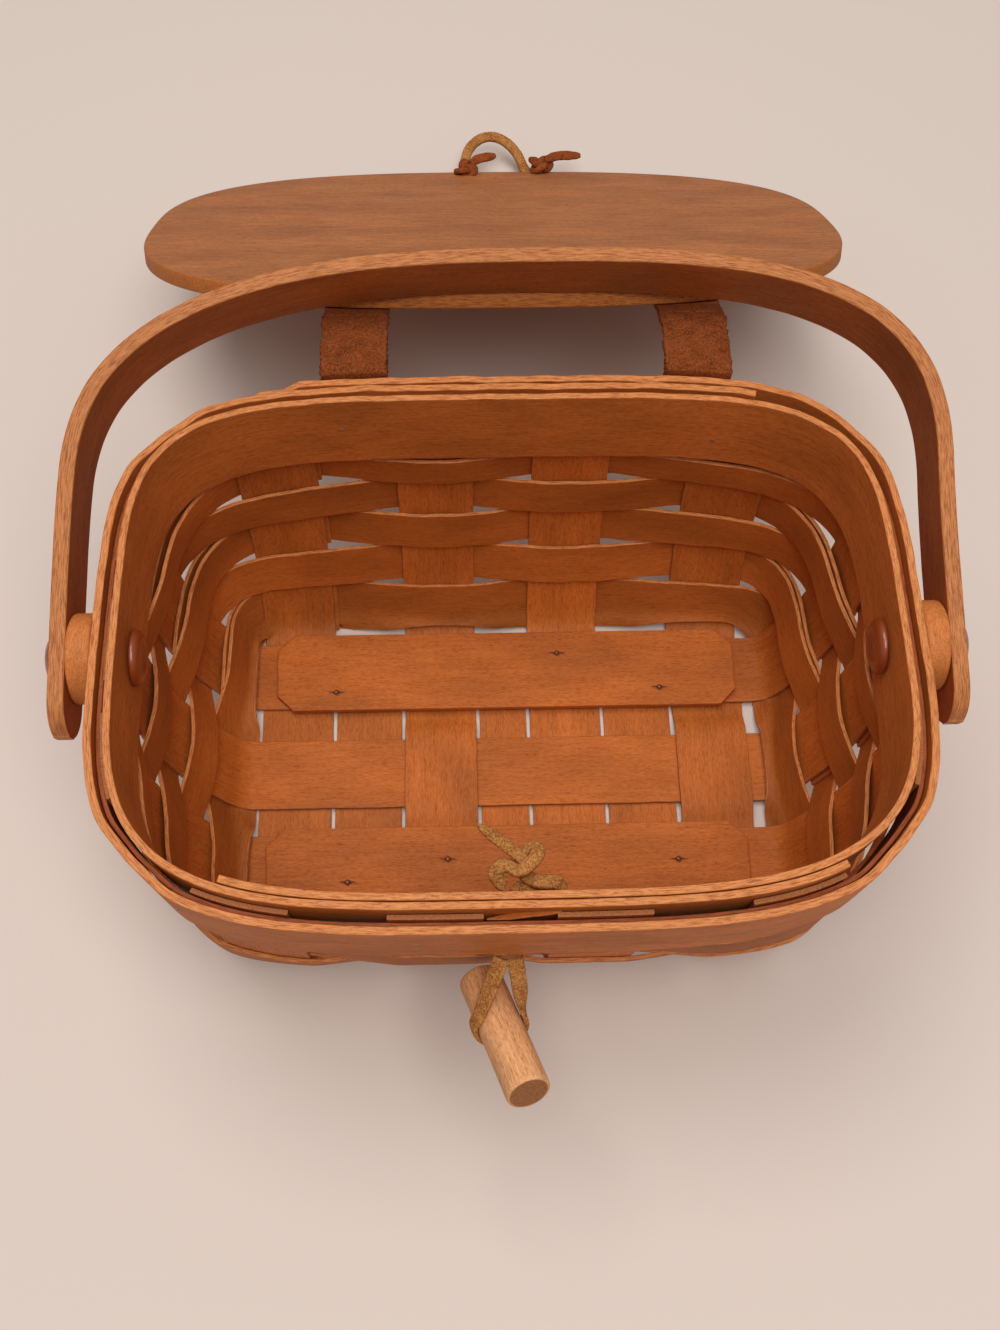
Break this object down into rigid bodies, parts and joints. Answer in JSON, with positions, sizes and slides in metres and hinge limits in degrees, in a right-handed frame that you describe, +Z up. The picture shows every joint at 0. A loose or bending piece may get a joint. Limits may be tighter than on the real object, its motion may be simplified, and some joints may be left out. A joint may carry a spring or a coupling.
{
  "type": "lidded splint basket",
  "caption": "Small rectangular woven splint basket with a swing handle, a flat wooden lid on two suede straps and a peg closure.",
  "frame": {"origin": "middle of the base, in the plane that the base splints rest on", "axes": "+X along the long side to the right, +Y to the lid straps at the back, +Z up"},
  "size_m": [0.2022, 0.3119, 0.1057],
  "materials": {
    "splint_wood": "stained split-wood splint, satin",
    "band_wood": "stained bent wood band, satin",
    "handle_wood": "stained steam-bent wood, satin",
    "lid_wood": "stained flat board, satin",
    "peg_wood": "stained dowel, satin",
    "strap_suede": "red-brown suede, matt",
    "lace_leather": "tan suede lace, matt",
    "rivet_metal": "dark red-brown lacquered metal, glossy",
    "tack_steel": "small plain tack"
  },
  "bodies": {
    "basket": {"upright_long_1": "splint_wood", "upright_long_2": "splint_wood", "upright_long_3": "splint_wood", "upright_long_4": "splint_wood", "upright_end_front": "splint_wood", "upright_end_middle": "splint_wood", "upright_end_back": "splint_wood", "base_filler_left": "splint_wood", "base_filler_middle": "splint_wood", "base_filler_right": "splint_wood", "base_board_back": "splint_wood", "board_tack_back_1": "tack_steel", "board_tack_back_2": "tack_steel", "board_tack_back_3": "tack_steel", "base_board_front": "splint_wood", "board_tack_front_1": "tack_steel", "board_tack_front_2": "tack_steel", "board_tack_front_3": "tack_steel", "weaver_row_1": "splint_wood", "weaver_row_2": "splint_wood", "weaver_row_3": "splint_wood", "weaver_row_4": "splint_wood", "weaver_row_5": "splint_wood", "rim_hoop_hidden": "splint_wood", "rim_band_inner": "band_wood", "rim_band_outer": "band_wood", "handle_spacer_left": "band_wood", "handle_rivet_left": "rivet_metal", "handle_spacer_right": "band_wood", "handle_rivet_right": "rivet_metal", "strap_left": "strap_suede", "strap_right": "strap_suede", "toggle_lace_left": "lace_leather", "toggle_lace_right": "lace_leather", "toggle_lace_knot": "lace_leather", "toggle_lace_tail": "lace_leather"},
    "handle": {"handle": "handle_wood"},
    "lid": {"lid": "lid_wood", "lid_lace_loop": "lace_leather", "lid_lace_knot_left": "lace_leather", "lid_lace_knot_right": "lace_leather"},
    "toggle": {"toggle_peg": "peg_wood", "toggle_lace_sling": "lace_leather"}
  },
  "joints": [
    {"name": "lid_hinge", "type": "hinge", "parent": "basket", "child": "lid", "pos_m": [0, 0.0798, 0.092], "axis": [1, 0, 0], "range_deg": [0, 215.5], "deforming": ["strap_left", "strap_right"]},
    {"name": "handle_swing", "type": "hinge", "parent": "basket", "child": "handle", "pos_m": [0, 0, 0.076], "axis": [1, 0, 0], "range_deg": [0, 162.3]},
    {"name": "toggle_turn", "type": "hinge", "parent": "basket", "child": "toggle", "pos_m": [-0.00195, -0.06502, 0.0651], "axis": [-0.0677, -0.8225, -0.5648], "range_deg": [-75, 75]}
  ],
  "couplings": [
    {"joint": "handle_swing", "follows": "lid_hinge", "ratio": 0.7531}
  ]
}
